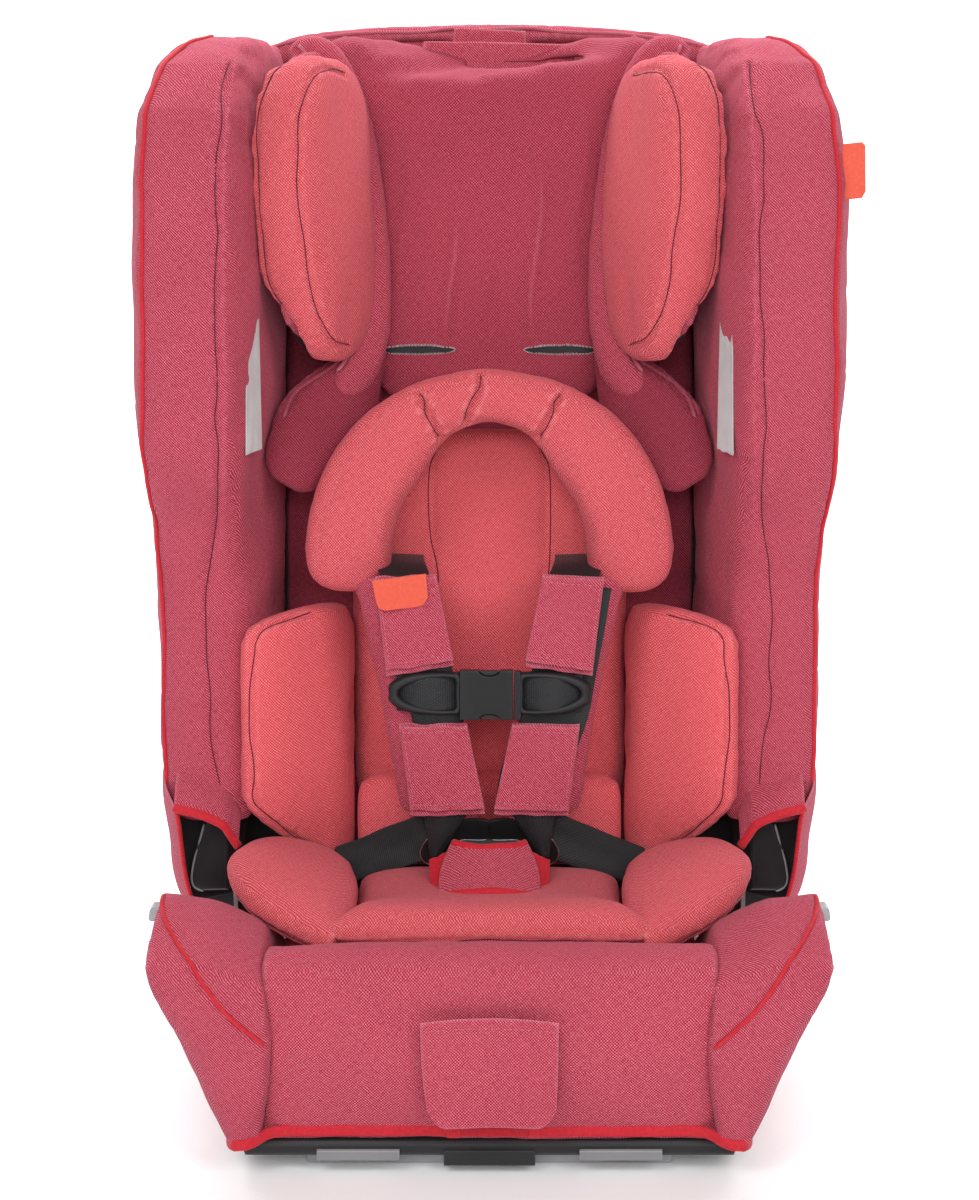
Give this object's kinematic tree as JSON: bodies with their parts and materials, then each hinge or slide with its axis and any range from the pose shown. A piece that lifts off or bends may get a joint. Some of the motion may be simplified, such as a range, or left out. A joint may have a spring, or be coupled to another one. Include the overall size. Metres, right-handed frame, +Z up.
{
  "type": "convertible car seat",
  "caption": "Convertible child car seat with a fold-down back, deep side bolsters, winged head support, infant insert pads and five-point harness.",
  "frame": {"origin": "on the floor, centre of the seat's bounding box", "axes": "+Z up, -Y is the way the child faces, +X is the child's left"},
  "size_m": [0.5006, 0.42, 0.7485],
  "materials": {
    "crimson_fabric": "heather crimson twill",
    "coral_fabric": "coral heather weave",
    "black_plastic": "moulded, fine grain",
    "grey_plastic": "moulded",
    "webbing": "woven polyester webbing",
    "steel": "bright zinc plated",
    "rubber": "matte",
    "red_plastic": "moulded"
  },
  "bodies": {
    "base": {"adjuster_housing": "grey_plastic", "arm_pad_left": "crimson_fabric", "arm_pad_right": "crimson_fabric", "base_shell": "black_plastic", "buckle_body": "black_plastic", "cross_tube": "steel", "crotch_pad": "crimson_fabric", "crotch_strap": "webbing", "cup_holder_bracket_left": "steel", "cup_holder_bracket_right": "steel", "grip_strip_front": "rubber", "grip_strip_rear": "rubber", "insert_seat_pad": "coral_fabric", "insert_thigh_left": "coral_fabric", "insert_thigh_right": "coral_fabric", "lap_strap_left": "webbing", "lap_strap_right": "webbing", "pivot_pin_left": "steel", "pivot_pin_right": "steel", "seat_cover": "crimson_fabric", "side_rail_left": "steel", "side_rail_right": "steel", "tongue_left": "black_plastic", "tongue_right": "black_plastic"},
    "back": {"back_cover": "crimson_fabric", "back_frame_left": "steel", "back_frame_right": "steel", "back_shell": "black_plastic", "bolster_left": "crimson_fabric", "bolster_right": "crimson_fabric", "chest_clip_left": "black_plastic", "chest_clip_right": "black_plastic", "hinge_cover_left": "black_plastic", "hinge_cover_right": "black_plastic", "insert_back_pad": "coral_fabric", "insert_head_pillow": "coral_fabric", "insert_side_left": "coral_fabric", "insert_side_right": "coral_fabric", "rear_strap": "webbing", "shoulder_pad_left": "crimson_fabric", "shoulder_pad_right": "crimson_fabric", "shoulder_strap_left": "webbing", "shoulder_strap_right": "webbing", "splitter_plate": "steel", "top_rim": "crimson_fabric"},
    "headrest": {"headrest_cover": "crimson_fabric", "headrest_cushion_left": "coral_fabric", "headrest_cushion_right": "coral_fabric", "headrest_shell": "black_plastic", "headrest_wing_left": "crimson_fabric", "headrest_wing_right": "crimson_fabric"},
    "adjuster_flap": {"adjuster_flap": "crimson_fabric"},
    "adjuster_lever": {"adjuster_lever": "black_plastic"},
    "buckle_button": {"buckle_button": "red_plastic"},
    "clip_tab_lower": {"clip_tab_lower": "grey_plastic"},
    "clip_tab_upper": {"clip_tab_upper": "grey_plastic"},
    "fold_lock_lever": {"fold_lock_lever": "grey_plastic"},
    "headrest_release_lever": {"headrest_release_lever": "black_plastic"},
    "recline_foot": {"recline_foot": "grey_plastic"}
  },
  "joints": [
    {"name": "back_fold", "type": "hinge", "parent": "base", "child": "back", "pos_m": [0, 0.035, 0.19], "axis": [1, 0, 0], "range_deg": [0, 85], "deforming": ["shoulder_pad_left", "shoulder_pad_right", "shoulder_strap_left", "shoulder_strap_right", "crotch_pad", "crotch_strap", "lap_strap_left", "lap_strap_right", "insert_side_left", "insert_side_right", "insert_thigh_left", "insert_thigh_right", "insert_seat_pad"]},
    {"name": "headrest_slide", "type": "slide", "parent": "back", "child": "headrest", "axis": [0, 0.1564, 0.9877], "range_m": [0, 0.12]},
    {"name": "buckle_button_press", "type": "slide", "parent": "base", "child": "buckle_button", "axis": [0, 0.8089, -0.5879], "range_m": [0, 0.004], "stiffness_N_per_m": 2000, "springref_m": -0.001},
    {"name": "adjuster_lever_press", "type": "slide", "parent": "base", "child": "adjuster_lever", "axis": [0, 1, 0], "range_m": [0, 0.004], "stiffness_N_per_m": 1500, "springref_m": -0.001},
    {"name": "adjuster_flap_lift", "type": "hinge", "parent": "base", "child": "adjuster_flap", "pos_m": [0, -0.2083, 0.1165], "axis": [-1, 0, 0], "range_deg": [0, 100]},
    {"name": "recline_foot_fold", "type": "hinge", "parent": "base", "child": "recline_foot", "pos_m": [0, 0.2002, 0.011], "axis": [-1, 0, 0], "range_deg": [0, 90]},
    {"name": "clip_tab_upper_press", "type": "slide", "parent": "back", "child": "clip_tab_upper", "axis": [0, -0.1564, -0.9877], "range_m": [0, 0.0025], "stiffness_N_per_m": 2000, "springref_m": -0.0005},
    {"name": "clip_tab_lower_press", "type": "slide", "parent": "back", "child": "clip_tab_lower", "axis": [0, 0.1564, 0.9877], "range_m": [0, 0.0025], "stiffness_N_per_m": 2000, "springref_m": -0.0005},
    {"name": "fold_lock_lift", "type": "hinge", "parent": "back", "child": "fold_lock_lever", "pos_m": [0, 0.11309, 0.14928], "axis": [1, 0, 0], "range_deg": [0, 20], "stiffness_Nm_per_rad": 0.6, "springref_deg": -5.73},
    {"name": "headrest_release_lift", "type": "slide", "parent": "headrest", "child": "headrest_release_lever", "axis": [0, 0.1564, 0.9877], "range_m": [0, 0.006], "stiffness_N_per_m": 1500, "springref_m": -0.001}
  ],
  "couplings": [
    {"joint": "clip_tab_lower_press", "follows": "clip_tab_upper_press", "ratio": 1}
  ]
}
